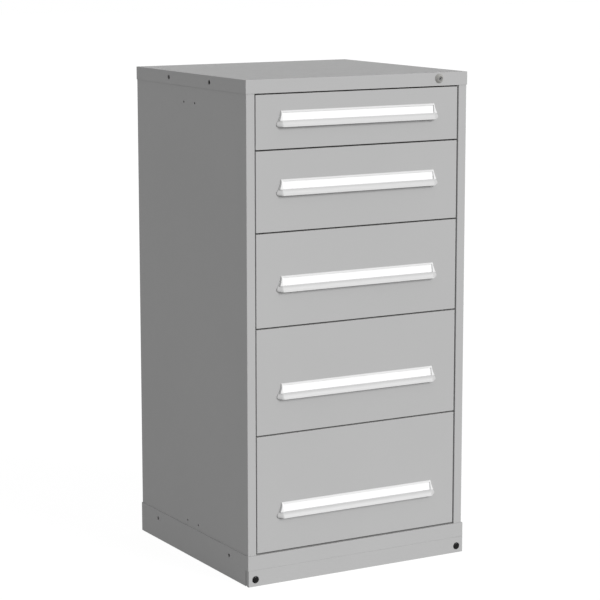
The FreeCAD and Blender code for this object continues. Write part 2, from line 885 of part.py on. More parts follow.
def drawer_rollers(drawer):
    """Rollers inside and outside each carriage plate."""
    name = "drawer_%d_rollers" % drawer
    body = new_body(name)
    height = rail_height(drawer)
    columns = pin_columns()[1]
    rings = []
    for column in columns:
        rings.append((column, height, "roller"))
        rings.append((column, height, "pin + 2 * pin_play"))
    inner_start = "(" + carriage_inner + " - roller_side_gap - inner_roller_width)"
    inner_end = "(" + carriage_inner + " - roller_side_gap)"
    outer_start = "(" + carriage_outer + " + roller_side_gap)"
    outer_end = "(" + carriage_outer + " + roller_side_gap + outer_roller_width)"
    for side in RAIL_SIDES:
        for start, end in ((inner_start, inner_end), (outer_start, outer_end)):
            low, high = span(side, start, end)
            add(body, "across", low, high, circles=rings)
    return keep(body, name)


# Lock

def lock_barrel():
    """Fixed sleeve with a bevelled head."""
    body = new_body("lock_barrel")
    seat = "-1 * (cover_gap + cover_sheet)"
    face = "(" + seat + " - lock_reach)"
    add(body, "back", face, seat, circles=[("lock_offset", lock_height, "lock_head")])
    add(body, "back", seat, seat + " + lock_length",
        circles=[("lock_offset", lock_height, "lock_body")])
    bevel_edges(body, "lock_bevel", edges_at(body, y=face))
    cut(body, "back", face + " - overrun", seat + " + lock_length + overrun",
        circles=[("lock_offset", lock_height, "lock_plug + 2 * turning_play")])
    return keep(body, "lock_barrel")


def lock_plug():
    """Turning plug with its keyway, drawn unlocked."""
    body = new_body("lock_plug")
    seat = "-1 * (cover_gap + cover_sheet)"
    face = "(" + seat + " - lock_reach + plug_recess)"
    add(body, "back", face, cam_face, circles=[("lock_offset", lock_height, "lock_plug")])
    slant = "cos(lock_turn / 2)"
    corners = []
    for along, over in ((-1, -1), (1, -1), (1, 1), (-1, 1)):
        across = "lock_offset + (%d * keyway_length - %d * keyway_width) / 2 * %s" % (
            along, over, slant)
        height = lock_height + " + (%d * keyway_length + %d * keyway_width) / 2 * %s" % (
            along, over, slant)
        corners.append((across, height))
    cut(body, "back", face + " - overrun", face + " + keyway_depth", [corners])
    return keep(body, "lock_plug")


def lock_cam():
    """Crank on the plug's end, whose pin works the lever."""
    body = new_body("lock_cam")
    add(body, "back", cam_face, cam_face + " + cam_sheet",
        circles=[("lock_offset", lock_height, "cam_hub")])
    pin_across = "lock_offset + cam_arm * cos(lock_turn / 2)"
    pin_height = lock_height + " + cam_arm * sin(lock_turn / 2)"
    add(body, "back", cam_face, cam_face + " + cam_sheet",
        circles=[(pin_across, pin_height, "cam_end")])
    add(body, "back", cam_face + " + cam_sheet", lever_face + " + lever_sheet + cam_gap",
        circles=[(pin_across, pin_height, "cam_pin")])
    return keep(body, "lock_cam")


def lock_lever():
    """Rocking lever between the cam and the lock bar, drawn level about its pivot."""
    body = new_body("lock_lever")
    half = "lever_height / 2"
    left = "-1 * (lever_left - cam_arm * cos(lock_turn / 2) + slot_run + lever_end)"
    add(body, "back", "0", "lever_sheet",
        [rectangle(left, "lever_right + lever_end", "-1 * " + half, half)])
    slot_half = "(cam_pin / 2 + slot_play)"
    slot = rectangle("-1 * (lever_left + slot_run)",
                     "-1 * (lever_left - cam_arm - slot_run)",
                     "-1 * " + slot_half, slot_half)
    cut(body, "back", "-1 * overrun", "lever_sheet + overrun", [slot],
        circles=[("0", "0", "pivot_pin + 2 * turning_play")])
    add(body, "back", "lever_sheet", "lever_sheet + bar_gap + bar_sheet + cam_gap",
        circles=[("lever_right", "0", "cam_pin")])
    body.Placement = FreeCAD.Placement(
        FreeCAD.Vector(0, 0, 0), FreeCAD.Rotation(FreeCAD.Vector(0, 1, 0), number(lever_tilt)))
    body.Label = "lock_lever"
    body.setExpression("Placement.Rotation.Angle", named(lever_tilt))
    body.setExpression("Placement.Base.x", named(pivot_across))
    body.setExpression("Placement.Base.y", named(front_place + " + " + lever_face))
    body.setExpression("Placement.Base.z", named(lock_height))
    document.recompute()
    sub_parts["lock_lever"] = body
    return body


bar_pin_height = "(" + lock_height + " - lever_right * sin(" + lever_tilt + "))"


def lock_bar():
    """Flat bar, drawn lowered and unlocked."""
    body = new_body("lock_bar")
    edge = "(" + bar_across + " - bar_width / 2)"
    far = "(" + bar_across + " + bar_width / 2)"
    back = bar_face + " + bar_sheet"
    add(body, "back", bar_face, back,
        [rectangle(edge, far, "bar_foot", bar_pin_height + " + bar_top")])
    slot_half = "(cam_pin / 2 + bar_slot_play)"
    slot_run = "(cam_pin / 2 + bar_slot_run)"
    slot = rectangle(bar_across + " - " + slot_run, bar_across + " + " + slot_run,
                     bar_pin_height + " - " + slot_half, bar_pin_height + " + " + slot_half)
    cut(body, "back", bar_face + " - overrun", back + " + overrun", [slot])
    return keep(body, "lock_bar")


def lock_bar_hooks():
    """A plate on the front of the bar for each drawer's lug."""
    hooks = []
    for drawer in range(1, DRAWERS + 1):
        high = body_rim(drawer) + " - hook_drop - hook_clear"
        hooks.append(box(
            "hook_%d" % drawer,
            bar_across + " - bar_width / 2 - hook_reach", bar_across + " + bar_width / 2",
            bar_face + " - hook_sheet", bar_face, high + " - hook_height", high))
    return group("lock_bar_hooks", hooks)


def lock_bar_guides():
    """Brackets on the right side panel that the lock bar slides through."""
    guides = []
    opening_left = "(" + bar_across + " - bar_width / 2 - guide_play)"
    opening_right = "(" + bar_across + " + bar_width / 2 + guide_play)"
    front = "(" + bar_face + " - guide_play)"
    back = "(" + bar_face + " + bar_sheet + guide_play)"
    lowest = "(bar_foot + guide_inset)"
    highest = "(" + below(1) + ")"
    for place, low in (("low", lowest), ("high", highest)):
        body = new_body("guide_" + place)
        outer = rectangle(opening_left + " - guide_wall", side_inner,
                          front + " - guide_wall", back + " + guide_wall")
        opening = rectangle(opening_left, opening_right, front, back)
        add(body, "up", low, low + " + guide_height", [outer, opening])
        guides.append(body)
    return group("lock_bar_guides", guides)


def build():
    fill_sheet()
    side_panel("side_panel_left", -1)
    side_panel("side_panel_right", 1)
    back_panel()
    top_cover()
    front_top_rail()
    bottom_panel()
    base_side("base_side_left", -1)
    base_side("base_side_right", 1)
    base_front_band()
    base_rear_band()
    base_cover()
    base_cover_plugs()
    housing_rails()
    for drawer in range(1, DRAWERS + 1):
        drawer_front(drawer)
        drawer_body(drawer)
        drawer_dividers(drawer)
        drawer_handle(drawer)
        drawer_label(drawer)
        drawer_end_caps(drawer)
        drawer_carriages(drawer)
        drawer_rollers(drawer)
    lock_barrel()
    lock_plug()
    lock_cam()
    lock_lever()
    lock_bar()
    lock_bar_hooks()
    lock_bar_guides()
    document.recompute()


def check():
    for item in document.Objects:
        if "Invalid" in item.State or "Error" in item.State:
            raise RuntimeError("%s did not compute: %s" % (item.Name, item.State))
    for name, item in sub_parts.items():
        if item.Shape.isNull() or not item.Shape.isValid() or item.Shape.Volume <= 0:
            raise RuntimeError("%s has no valid shape" % name)


def write():
    os.makedirs("parts", exist_ok=True)
    for name, item in sub_parts.items():
        item.Shape.exportStep("parts/%s.step" % name)
        print(name, len(item.Shape.Solids), "solids", round(item.Shape.Volume))


build()
check()
write()
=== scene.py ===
import bpy
import bmesh
import json
import math
from mathutils import Matrix, Vector


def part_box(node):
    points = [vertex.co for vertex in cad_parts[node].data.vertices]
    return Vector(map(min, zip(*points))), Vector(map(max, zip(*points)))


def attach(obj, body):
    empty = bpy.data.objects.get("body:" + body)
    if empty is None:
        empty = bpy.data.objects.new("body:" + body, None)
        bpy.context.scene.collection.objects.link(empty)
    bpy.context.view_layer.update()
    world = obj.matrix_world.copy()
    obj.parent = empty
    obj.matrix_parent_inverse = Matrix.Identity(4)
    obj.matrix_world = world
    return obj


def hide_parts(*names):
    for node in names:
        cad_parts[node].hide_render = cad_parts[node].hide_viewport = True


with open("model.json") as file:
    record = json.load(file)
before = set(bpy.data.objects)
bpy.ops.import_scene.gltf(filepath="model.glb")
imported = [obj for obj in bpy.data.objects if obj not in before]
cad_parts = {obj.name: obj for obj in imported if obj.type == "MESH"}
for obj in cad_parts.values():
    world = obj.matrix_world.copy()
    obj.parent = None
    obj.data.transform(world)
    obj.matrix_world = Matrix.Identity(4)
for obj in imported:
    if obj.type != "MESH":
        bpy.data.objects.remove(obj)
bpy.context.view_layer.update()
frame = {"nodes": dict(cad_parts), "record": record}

# steel cabinet with five drawers: sizes in metres, places worked out from the frame

nodes = frame["nodes"]
mm = 0.001
tiny = 1e-6              # keeps a division from meeting zero
drawerCount = 5
print("frame loaded:", len(nodes), "nodes")

# camera: where the photograph was taken from, solved from the cabinet's edges
cameraSettings = {
    "place": (-3.3209, -5.7781, 1.9243),
    "yaw": 29.886,           # degrees to the right of straight on
    "pitch": -9.753,
    "roll": -0.023,
    "focalPixels": 2161.27,  # for an image of imagePixels across
    "imagePixels": 600,
    "sensor": 36.0,
    "farLimit": 200.0,
}


def makeCamera(settings):
    data = bpy.data.cameras.new("studioCamera")
    data.sensor_width = settings["sensor"]
    data.lens = settings["sensor"] * settings["focalPixels"] / settings["imagePixels"]
    data.clip_end = settings["farLimit"]
    data.dof.use_dof = False
    camera = bpy.data.objects.new("studioCamera", data)
    bpy.context.scene.collection.objects.link(camera)
    yaw = math.radians(settings["yaw"])
    pitch = math.radians(settings["pitch"])
    forward = Vector((math.sin(yaw) * math.cos(pitch), math.cos(yaw) * math.cos(pitch),
                      math.sin(pitch)))
    right = Vector((math.cos(yaw), -math.sin(yaw), 0.0))
    up = right.cross(forward)
    turn = Matrix((right, up, -forward)).transposed()
    turn = turn @ Matrix.Rotation(math.radians(settings["roll"]), 3, "Z")
    camera.matrix_world = Matrix.Translation(settings["place"]) @ turn.to_4x4()
    bpy.context.scene.camera = camera


makeCamera(cameraSettings)
print("camera placed")


# node trees

nodeLayout = {"columnGap": 240, "rowGap": 200}


def addNode(tree, kind, **values):
    node = tree.nodes.new(kind)
    for name, value in values.items():
        setattr(node, name, value)
    return node


def setGrey(socket, level):
    socket.default_value = (level, level, level, 1.0)


def emptyTree(owner):
    owner.use_nodes = True
    owner.node_tree.nodes.clear()
    return owner.node_tree


# how many columns a node stands before the output
def nodeColumn(tree, node):
    fed = [link.to_node for link in tree.links if link.from_node == node]
    return max([nodeColumn(tree, target) + 1 for target in fed], default=0)


# lay the nodes out in columns, so that the tree can be read in the editor
def arrangeNodes(tree):
    rows = {}
    for node in tree.nodes:
        column = nodeColumn(tree, node)
        rows[column] = rows.get(column, 0) + 1
        node.location = (-column * nodeLayout["columnGap"],
                         -rows[column] * nodeLayout["rowGap"])


# light: one broad soft lamp ahead of the cabinet, and an even sky
lightSettings = {
    "sunStrength": 2.26,
    "sunFrom": (0.36, -0.86, 0.37),   # direction from the cabinet to the lamp
    "sunAngle": 28.0,                 # degrees, how broad the lamp is
    "skyLevel": 0.46,
    "seenLevel": 1.0,                 # the sky as the camera sees it
    "floorHalf": 40.0,
    "floorColour": 0.30,
    "floorGlow": 0.95,                # white that the camera sees without any light
    "floorShare": 0.11,               # how much of the light and shadow the camera sees
    "floorLight": 0.21,               # what the floor gives back where no lamp reaches it
}


def makeLamp(settings):
    data = bpy.data.lights.new("broadLamp", "SUN")
    data.energy = settings["sunStrength"]
    data.angle = math.radians(settings["sunAngle"])
    lamp = bpy.data.objects.new("broadLamp", data)
    lamp.rotation_euler = Vector(settings["sunFrom"]).to_track_quat("Z", "Y").to_euler()
    bpy.context.scene.collection.objects.link(lamp)


# white light of one strength, from the sky or from a surface
def addGlow(tree, kind, strength):
    glow = addNode(tree, kind)
    setGrey(glow.inputs["Color"], 1.0)
    glow.inputs["Strength"].default_value = strength
    return glow.outputs[0]


def addMatt(tree, level):
    matt = addNode(tree, "ShaderNodeBsdfDiffuse")
    setGrey(matt.inputs["Color"], level)
    return matt.outputs[0]


def addTogether(tree, first, second):
    both = addNode(tree, "ShaderNodeAddShader")
    tree.links.new(first, both.inputs[0])
    tree.links.new(second, both.inputs[1])
    return both.outputs[0]


# one for a ray that comes from the camera, a reflection or a clear surface
def seenRay(tree):
    path = addNode(tree, "ShaderNodeLightPath")
    first = addNode(tree, "ShaderNodeMath", operation="MAXIMUM")
    both = addNode(tree, "ShaderNodeMath", operation="MAXIMUM")
    tree.links.new(path.outputs["Is Camera Ray"], first.inputs[0])
    tree.links.new(path.outputs["Is Glossy Ray"], first.inputs[1])
    tree.links.new(first.outputs[0], both.inputs[0])
    tree.links.new(path.outputs["Is Transmission Ray"], both.inputs[1])
    return both.outputs[0]


# one shader lights the cabinet, the other is what the camera sees
def splitSeen(tree, lighting, seen, outputKind):
    mix = addNode(tree, "ShaderNodeMixShader")
    output = addNode(tree, outputKind)
    tree.links.new(seenRay(tree), mix.inputs[0])
    tree.links.new(lighting, mix.inputs[1])
    tree.links.new(seen, mix.inputs[2])
    tree.links.new(mix.outputs[0], output.inputs["Surface"])
    arrangeNodes(tree)


def makeSky(settings):
    world = bpy.data.worlds.new("studioSky")
    tree = emptyTree(world)
    lighting = addGlow(tree, "ShaderNodeBackground", settings["skyLevel"])
    seen = addGlow(tree, "ShaderNodeBackground", settings["seenLevel"])
    splitSeen(tree, lighting, seen, "ShaderNodeOutputWorld")
    bpy.context.scene.world = world


# a level sheet of the studio, with the empty node tree of its material
def makeSheet(name, materialName, low, high, height):
    mesh = bpy.data.meshes.new(name)
    corners = [(low[0], low[1], height), (high[0], low[1], height),
               (high[0], high[1], height), (low[0], high[1], height)]
    mesh.from_pydata(corners, [], [(0, 1, 2, 3)])
    sheet = bpy.data.objects.new(name, mesh)
    bpy.context.scene.collection.objects.link(sheet)
    material = bpy.data.materials.new(materialName)
    mesh.materials.append(material)
    return emptyTree(material)


def makeFloor(settings):
    half = settings["floorHalf"]
    tree = makeSheet("studioFloor", "paleFloor", (-half, -half), (half, half), 0.0)
    lighting = addTogether(tree, addMatt(tree, settings["floorColour"]),
                           addGlow(tree, "ShaderNodeEmission", settings["floorLight"]))
    seen = addTogether(tree, addMatt(tree, settings["floorShare"]),
                       addGlow(tree, "ShaderNodeEmission", settings["floorGlow"]))
    splitSeen(tree, lighting, seen, "ShaderNodeOutputMaterial")


# painted shade: a dark sheet under the cabinet stands for the shade inside the base, so no
# light shows through the holes of the base
shadeSheetSettings = {"inset": 6 * mm, "rise": 0.5 * mm, "colour": 0.02}


def makeShadeSheet(settings):
    low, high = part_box("bottom_panel")
    inset = settings["inset"]
    tree = makeSheet("paintedShadeSheet", "paintedShadeBlack", (low.x + inset, low.y + inset),
                     (high.x - inset, high.y - inset), settings["rise"])
    output = addNode(tree, "ShaderNodeOutputMaterial")
    tree.links.new(addMatt(tree, settings["colour"]), output.inputs["Surface"])
    arrangeNodes(tree)


makeLamp(lightSettings)
makeSky(lightSettings)
makeFloor(lightSettings)
makeShadeSheet(shadeSheetSettings)
bpy.context.scene.view_settings.view_transform = "Standard"
print("studio ready")


# materials: scales are waves per metre, reliefs are heights in metres

noiseSpan = (0.3, 0.7)       # nearly all values of a noise lie between these
evenly = (1.0, 1.0, 1.0)     # no stretch along an axis, and no tint
usualGloss = 0.5


def startMaterial(name):
    material = bpy.data.materials.new(name)
    material.use_nodes = True
    tree = material.node_tree
    return material, tree, tree.nodes["Principled BSDF"]


# noise in the object's own space, stretched along its axes
def addNoise(tree, scale, detail, stretch=evenly):
    coordinates = addNode(tree, "ShaderNodeTexCoord")
    mapping = addNode(tree, "ShaderNodeMapping")
    mapping.inputs["Scale"].default_value = stretch
    noise = addNode(tree, "ShaderNodeTexNoise")
    noise.inputs["Scale"].default_value = scale
    noise.inputs["Detail"].default_value = detail
    tree.links.new(coordinates.outputs["Object"], mapping.inputs["Vector"])
    tree.links.new(mapping.outputs["Vector"], noise.inputs["Vector"])
    return noise.outputs["Fac"]


# turn a noise into greys between two limits
def greyBetween(tree, factor, greys, tint=evenly):
    ramp = addNode(tree, "ShaderNodeValToRGB")
    for element, place, grey in zip(ramp.color_ramp.elements, noiseSpan, greys):
        element.position = place
        element.color = (grey * tint[0], grey * tint[1], grey * tint[2], 1.0)
    tree.links.new(factor, ramp.inputs["Fac"])
    return ramp.outputs["Color"]


# turn a noise into roughness between two limits
def roughBetween(tree, factor, shader, limits):
    spread = addNode(tree, "ShaderNodeMapRange")
    for end, value in zip(("From Min", "From Max", "To Min", "To Max"), noiseSpan + limits):
        spread.inputs[end].default_value = value
    tree.links.new(factor, spread.inputs["Value"])
    tree.links.new(spread.outputs["Result"], shader.inputs["Roughness"])


# paint light and shade into a colour: multiply it by shades set at heights of the piece, from
# 0 at its foot to 1 at its top
def paintLightAndShadeByHeight(tree, colour, stops):
    coordinates = addNode(tree, "ShaderNodeTexCoord")
    split = addNode(tree, "ShaderNodeSeparateXYZ")
    ramp = addNode(tree, "ShaderNodeValToRGB")
    tree.links.new(coordinates.outputs["Generated"], split.inputs[0])
    tree.links.new(split.outputs["Z"], ramp.inputs["Fac"])
    elements = ramp.color_ramp.elements     # two to start with, at both ends
    for height, shade in stops[1:-1]:
        elements.new(height)
    for element, (height, shade) in zip(elements, stops):
        element.position = height
        element.color = (shade, shade, shade, 1.0)
    product = addNode(tree, "ShaderNodeVectorMath", operation="MULTIPLY")
    tree.links.new(colour, product.inputs[0])
    tree.links.new(ramp.outputs["Color"], product.inputs[1])
    return product.outputs["Vector"]


def bumpFrom(tree, factor, shader, strength, relief):
    bump = addNode(tree, "ShaderNodeBump")
    bump.inputs["Strength"].default_value = strength
    bump.inputs["Distance"].default_value = relief
    tree.links.new(factor, bump.inputs["Height"])
    tree.links.new(bump.outputs["Normal"], shader.inputs["Normal"])


# one grain gives a finish its greys, its roughness and its relief
def grainedMaterial(name, finish):
    material, tree, shader = startMaterial(name)
    shader.inputs["Metallic"].default_value = finish.get("metallic", 0.0)
    shader.inputs["Specular IOR Level"].default_value = finish.get("gloss", usualGloss)
    grain = addNoise(tree, finish["scale"], finish["detail"], finish.get("stretch", evenly))
    colour = greyBetween(tree, grain, finish["greys"], finish.get("tint", evenly))
    # painted light and shade by height, for the finishes that have them
    if "paintedLightStops" in finish:
        colour = paintLightAndShadeByHeight(tree, colour, finish["paintedLightStops"])
    tree.links.new(colour, shader.inputs["Base Color"])
    roughBetween(tree, grain, shader, finish["rough"])
    bumpFrom(tree, grain, shader, finish["bump"], finish["relief"])
    return material


# powder paint of the housing and the drawers
paintFinish = {
    "greys": (0.449, 0.461),  # slow change of shade over a panel
    "mottleScale": 2.2,
    "mottleDetail": 3.0,
    "gloss": 0.05,            # nearly matt
    "rough": (0.50, 0.60),
    "roughWaves": 12,         # waves of orange peel to one wave of roughness
    "roughDetail": 2.0,
    "peelScale": 620.0,
    "peelDetail": 1.5,
    "bump": 0.5,
    "relief": 0.04 * mm,
}


def greyPaint(finish):
    material, tree, shader = startMaterial("greyPaint")
    shader.inputs["Specular IOR Level"].default_value = finish["gloss"]
    mottle = addNoise(tree, finish["mottleScale"], finish["mottleDetail"])
    tree.links.new(greyBetween(tree, mottle, finish["greys"]), shader.inputs["Base Color"])
    patches = addNoise(tree, finish["peelScale"] / finish["roughWaves"], finish["roughDetail"])
    roughBetween(tree, patches, shader, finish["rough"])
    peel = addNoise(tree, finish["peelScale"], finish["peelDetail"])
    bumpFrom(tree, peel, shader, finish["bump"], finish["relief"])
    return material


# zinc plate of the rails, carriages and lock works
zincFinish = {
    "greys": (0.4888, 0.5512),
    "tint": (0.98, 1.0, 1.03),
    "metallic": 0.85,
    "spangleScale": 160.0,
    "hazeScale": 90.0,
    "rough": (0.30, 0.46),
    "scratchScale": 500.0,
    "scratchStretch": (1.0, 0.05, 1.0),   # scratches run from front to back
    "detail": 3.0,
    "bump": 0.3,
    "relief": 0.03 * mm,
}


def zincSteel(finish):
    material, tree, shader = startMaterial("zincSteel")
    shader.inputs["Metallic"].default_value = finish["metallic"]
    coordinates = addNode(tree, "ShaderNodeTexCoord")
    spangle = addNode(tree, "ShaderNodeTexVoronoi")
    spangle.inputs["Scale"].default_value = finish["spangleScale"]
    tree.links.new(coordinates.outputs["Object"], spangle.inputs["Vector"])
    colour = greyBetween(tree, spangle.outputs["Distance"], finish["greys"], finish["tint"])
    tree.links.new(colour, shader.inputs["Base Color"])
    haze = addNoise(tree, finish["hazeScale"], finish["detail"])
    roughBetween(tree, haze, shader, finish["rough"])
    scratch = addNoise(tree, finish["scratchScale"], finish["detail"],
                       finish["scratchStretch"])
    bumpFrom(tree, scratch, shader, finish["bump"], finish["relief"])
    return material


# brushed pulls; painted highlights make the rim over the label and the lip's foot brighter
aluminiumFinish = {
    "greys": (0.69225, 0.7242),
    "paintedLightStops": ((0.0, 0.89), (0.12, 0.85), (0.24, 0.78), (0.86, 0.78), (0.89, 1.0)),
    "gloss": 0.30,
    "scale": 900.0,
    "detail": 2.0,
    "stretch": (0.02, 1.0, 1.0),
    "rough": (0.30, 0.42),
    "bump": 0.4,
    "relief": 0.02 * mm,
}

# moulded ends; painted shade darkens the flare, and a painted highlight makes the rim beside
# the label paler
plasticFinish = {
    "greys": (0.7448, 0.7752),
    "paintedLightStops": ((0.34, 0.72), (0.42, 0.95), (0.80, 1.0)),
    "scale": 1400.0,
    "detail": 2.0,
    "rough": (0.43, 0.53),
    "bump": 0.5,
    "relief": 0.03 * mm,
}

# fibres of the blank cards lie along the pull
cardFinish = {
    "greys": (0.916, 0.93),
    "scale": 1100.0,
    "detail": 4.0,
    "stretch": (0.35, 1.0, 1.0),
    "rough": (0.70, 0.85),
    "bump": 0.3,
    "relief": 0.02 * mm,
}

# warm white rollers
nylonFinish = {
    "greys": (0.703, 0.74),
    "tint": (1.0, 0.97, 0.90),
    "scale": 240.0,
    "detail": 3.0,
    "rough": (0.28, 0.40),
    "bump": 0.2,
    "relief": 0.03 * mm,
}

# smooth black plugs of the base
rubberFinish = {
    "greys": (0.006, 0.012),
    "gloss": 0.10,
    "scale": 420.0,
    "detail": 3.0,
    "rough": (0.07, 0.12),
    "bump": 0.1,
    "relief": 0.02 * mm,
}

# the lock's head shows as a soft warm grey, so it doesn't mirror the room
lockHeadFinish = {
    "greys": (0.34, 0.41),
    "tint": (1.0, 0.99, 0.95),
    "gloss": 0.1,
    "scale": 700.0,
    "detail": 3.0,
    "rough": (0.22, 0.32),
    "bump": 0.15,
    "relief": 0.02 * mm,
}

# dark steel of the turning plug; its greys are kept low as painted shade of the recess it sits
# in
lockCoreFinish = {
    "greys": (0.13, 0.17),
    "metallic": 0.9,
    "scale": 900.0,
    "detail": 3.0,
    "rough": (0.28, 0.42),
    "bump": 0.2,
    "relief": 0.02 * mm,
}

slotMaterials = {
    "grey_paint": greyPaint(paintFinish),
    "zinc_steel": zincSteel(zincFinish),
    "pull_aluminium": grainedMaterial("pullAluminium", aluminiumFinish),
    "pull_end_plastic": grainedMaterial("endPlastic", plasticFinish),
    "label_card": grainedMaterial("labelCard", cardFinish),
    "roller_nylon": grainedMaterial("rollerNylon", nylonFinish),
    "black_rubber": grainedMaterial("blackRubber", rubberFinish),
    "lock_chrome": grainedMaterial("lockChrome", lockHeadFinish),
    "lock_core_steel": grainedMaterial("lockCoreSteel", lockCoreFinish),
}


# give every piece of the frame the material that the record names for it
def paintFrame():
    slotOfNode = {}
    for entry in frame["record"]["subparts"]:
        slotOfNode[entry["node"]] = entry["material_slot"]
    for name, node in nodes.items():
        material = slotMaterials[slotOfNode[name]]
        for index in range(len(node.data.materials)):
            node.data.materials[index] = material
        if not node.data.materials:
            node.data.materials.append(material)


for material in slotMaterials.values():
    arrangeNodes(material.node_tree)
paintFrame()
print("materials made:", len(slotMaterials))


# mesh helpers

softAngle = 35.0         # degrees between faces up to which moulded edges look smooth
turnedAngle = 30.0       # the same for the lock's turned pieces
cornerLimit = 0.45       # share of a side that a round corner may take up


def makePiece(name, mesh, slot, body, replaced):
    piece = bpy.data.objects.new(name, mesh)
    bpy.context.scene.collection.objects.link(piece)
    mesh.materials.append(slotMaterials[slot])
    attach(piece, body)
    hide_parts(replaced)


# replace each corner of a closed outline by an arc of its own radius
def roundCorners(corners, steps):
    rounded = []
    count = len(corners)
    for index, (across, along, radius) in enumerate(corners):
        corner = Vector((across, along))
        if radius == 0:
            rounded.append(corner)
            continue
        before = Vector(corners[index - 1][:2]) - corner
        after = Vector(corners[(index + 1) % count][:2]) - corner
        start = corner + before.normalized() * min(radius, before.length * cornerLimit)
        end = corner + after.normalized() * min(radius, after.length * cornerLimit)
        for step in range(steps + 1):
            share = step / steps
            rounded.append(start.lerp(corner, share).lerp(corner.lerp(end, share), share))
    return rounded


# skin a row of rings, then close both ends or join the last ring to the first
def skinRings(rings, name, smoothAngle, joined=False):
    mesh = bpy.data.meshes.new(name)
    build = bmesh.new()
    rows = [[build.verts.new(point) for point in ring] for ring in rings]
    count = len(rows[0])
    for first, second in zip(rows, rows[1:] + rows[:1] if joined else rows[1:]):
        for index in range(count):
            following = (index + 1) % count
            build.faces.new((first[index], first[following], second[following],
                             second[index]))
    if not joined:
        build.faces.new(list(reversed(rows[0])))
        build.faces.new(rows[-1])
    bmesh.ops.recalc_face_normals(build, faces=build.faces)
    build.to_mesh(mesh)
    build.free()
    mesh.polygons.foreach_set("use_smooth", [True] * len(mesh.polygons))
    mesh.set_sharp_from_angle(angle=math.radians(smoothAngle))
    return mesh


# pulls: hooded section with a channel for the label and a curled lip
pullShape = {
    "wall": 2.2 * mm,        # thickness of the lip
    "plate": 1.6 * mm,       # of the flange on the drawer and of the channel's wall
    "topReach": 2.2 * mm,    # how far the crown stands out
    "rimReach": 5.2 * mm,    # at the label's upper edge
    "creaseReach": 9.0 * mm,  # where the label ends and the lip begins
    "labelHeight": 23.2 * mm,
    "rim": 5.3 * mm,
    "recess": 3.4 * mm,      # depth of the label's channel
    "webTop": 10.0 * mm,     # where the channel's wall meets the flange, below the crown
    "flangeFoot": 16.0 * mm,  # where the flange ends, below the crown
    "lipCurl": 2.0,          # above 1 the lip curls outwards
    "lipSteps": 7,
    "edge": 0.4 * mm,
    "lipEdge": 0.3 * mm,
    "cornerSteps": 3,
}


# where a drawer's pull sits, from the node that it replaces
def pullPlaces(drawer):
    low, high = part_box("drawer_%d_handle" % drawer)
    labelTop = high.z - pullShape["rim"]
    return {
        "plane": high.y,     # the drawer's front
        "reach": high.y - low.y,
        "left": low.x,
        "right": high.x,
        "foot": low.z,
        "crease": labelTop - pullShape["labelHeight"],
        "labelTop": labelTop,
        "crown": high.z,
    }


# how far the lip stands out, from 0 at the crease to 1 at its foot
def lipReach(reach, share):
    start = pullShape["creaseReach"]
    return start + (reach - start) * share ** pullShape["lipCurl"]


def makePull(drawer):
    places = pullPlaces(drawer)
    shape = pullShape
    foot, crease, crown = places["foot"], places["crease"], places["crown"]
    wall, edge, lipEdge = shape["wall"], shape["edge"], shape["lipEdge"]
    reach, rimReach, creaseReach = places["reach"], shape["rimReach"], shape["creaseReach"]
    corners = [
        (0.0, crown, edge),
        (-shape["topReach"], crown, edge),
        (-rimReach, places["labelTop"], edge),
        (shape["recess"] - rimReach, places["labelTop"], 0),
        (shape["recess"] - creaseReach, crease, 0),
        (-creaseReach, crease, edge),
    ]
    steps = shape["lipSteps"]
    for step in range(1, steps):
        share = step / steps
        corners.append((-lipReach(reach, share), crease + (foot - crease) * share, 0))
    corners += [(-reach, foot, lipEdge), (wall - reach, foot, lipEdge)]
    for step in range(steps - 1, 1, -1):
        share = step / steps
        corners.append((wall - lipReach(reach, share), crease + (foot - crease) * share, 0))
    corners += [
        (wall - creaseReach, crease - wall, 0),
        (shape["recess"] + shape["plate"] - creaseReach, crease - wall, 0),
        (-shape["plate"], crown - shape["webTop"], 0),
        (-shape["plate"], crown - shape["flangeFoot"], 0),
        (0.0, crown - shape["flangeFoot"], 0),
    ]
    outline = roundCorners(corners, shape["cornerSteps"])
    rings = []
    for across in (places["left"], places["right"]):
        rings.append([(across, places["plane"] + ahead, height) for ahead, height in outline])
    name = "pull_%d" % drawer
    makePiece(name, skinRings(rings, name, softAngle), "pull_aluminium",
              "drawer_%d" % drawer, "drawer_%d_handle" % drawer)


# moulded pull ends: a flare that runs out to the panel, and a rim beside the label
capShape = {
    "topRim": 3.2 * mm,      # rims and wings are widths out from the pull's end
    "midRim": 10.1 * mm,
    "lowRim": 2.5 * mm,
    "topWing": 3.9 * mm,
    "midWing": 10.6 * mm,
    "flareWing": 12.0 * mm,
    "lowWing": 19.4 * mm,
    "spread": 1.5,           # above 1 the rim widens most near the crease
    "edge": 0.8 * mm,        # thickness of the wing at its outer edge
    "lowEdge": 3.0 * mm,
    "edgeGrowth": 2,         # the edge reaches lowEdge at one over this of the flare
    "corner": 11.0 * mm,     # round lower corner
    "cornerDepth": 0.7,      # share of a full quarter circle that the corner takes off
    "soft": 0.9 * mm,        # rounding of the front edge
    "softFall": 0.6,         # share of it by which the flare starts behind the front
    "softPower": 12,         # a higher power ends the rounding sooner
    "upSteps": 8,
    "lowSteps": 16,
    "curveSteps": 12,
}


# level section of a pull end, from the pull out to its edge on the panel
def capSection(places, side, height, reach, rim, wing, edge):
    shape = capShape
    soft = min(shape["soft"], rim / 2, (reach - edge) / 2)
    profile = [(0.0, 0.0), (0.0, reach), (rim - soft, reach)]
    for step in range(shape["curveSteps"] + 1):
        share = step / shape["curveSteps"]
        fall = soft * shape["softFall"] * (1 - share) ** shape["softPower"]
        profile.append((rim + (wing - rim) * share, reach + (edge - reach) * share - fall))
    profile.append((wing, 0.0))
    end = places["right"] if side > 0 else places["left"]
    return [(end + side * out, places["plane"] - ahead, height) for out, ahead in profile]


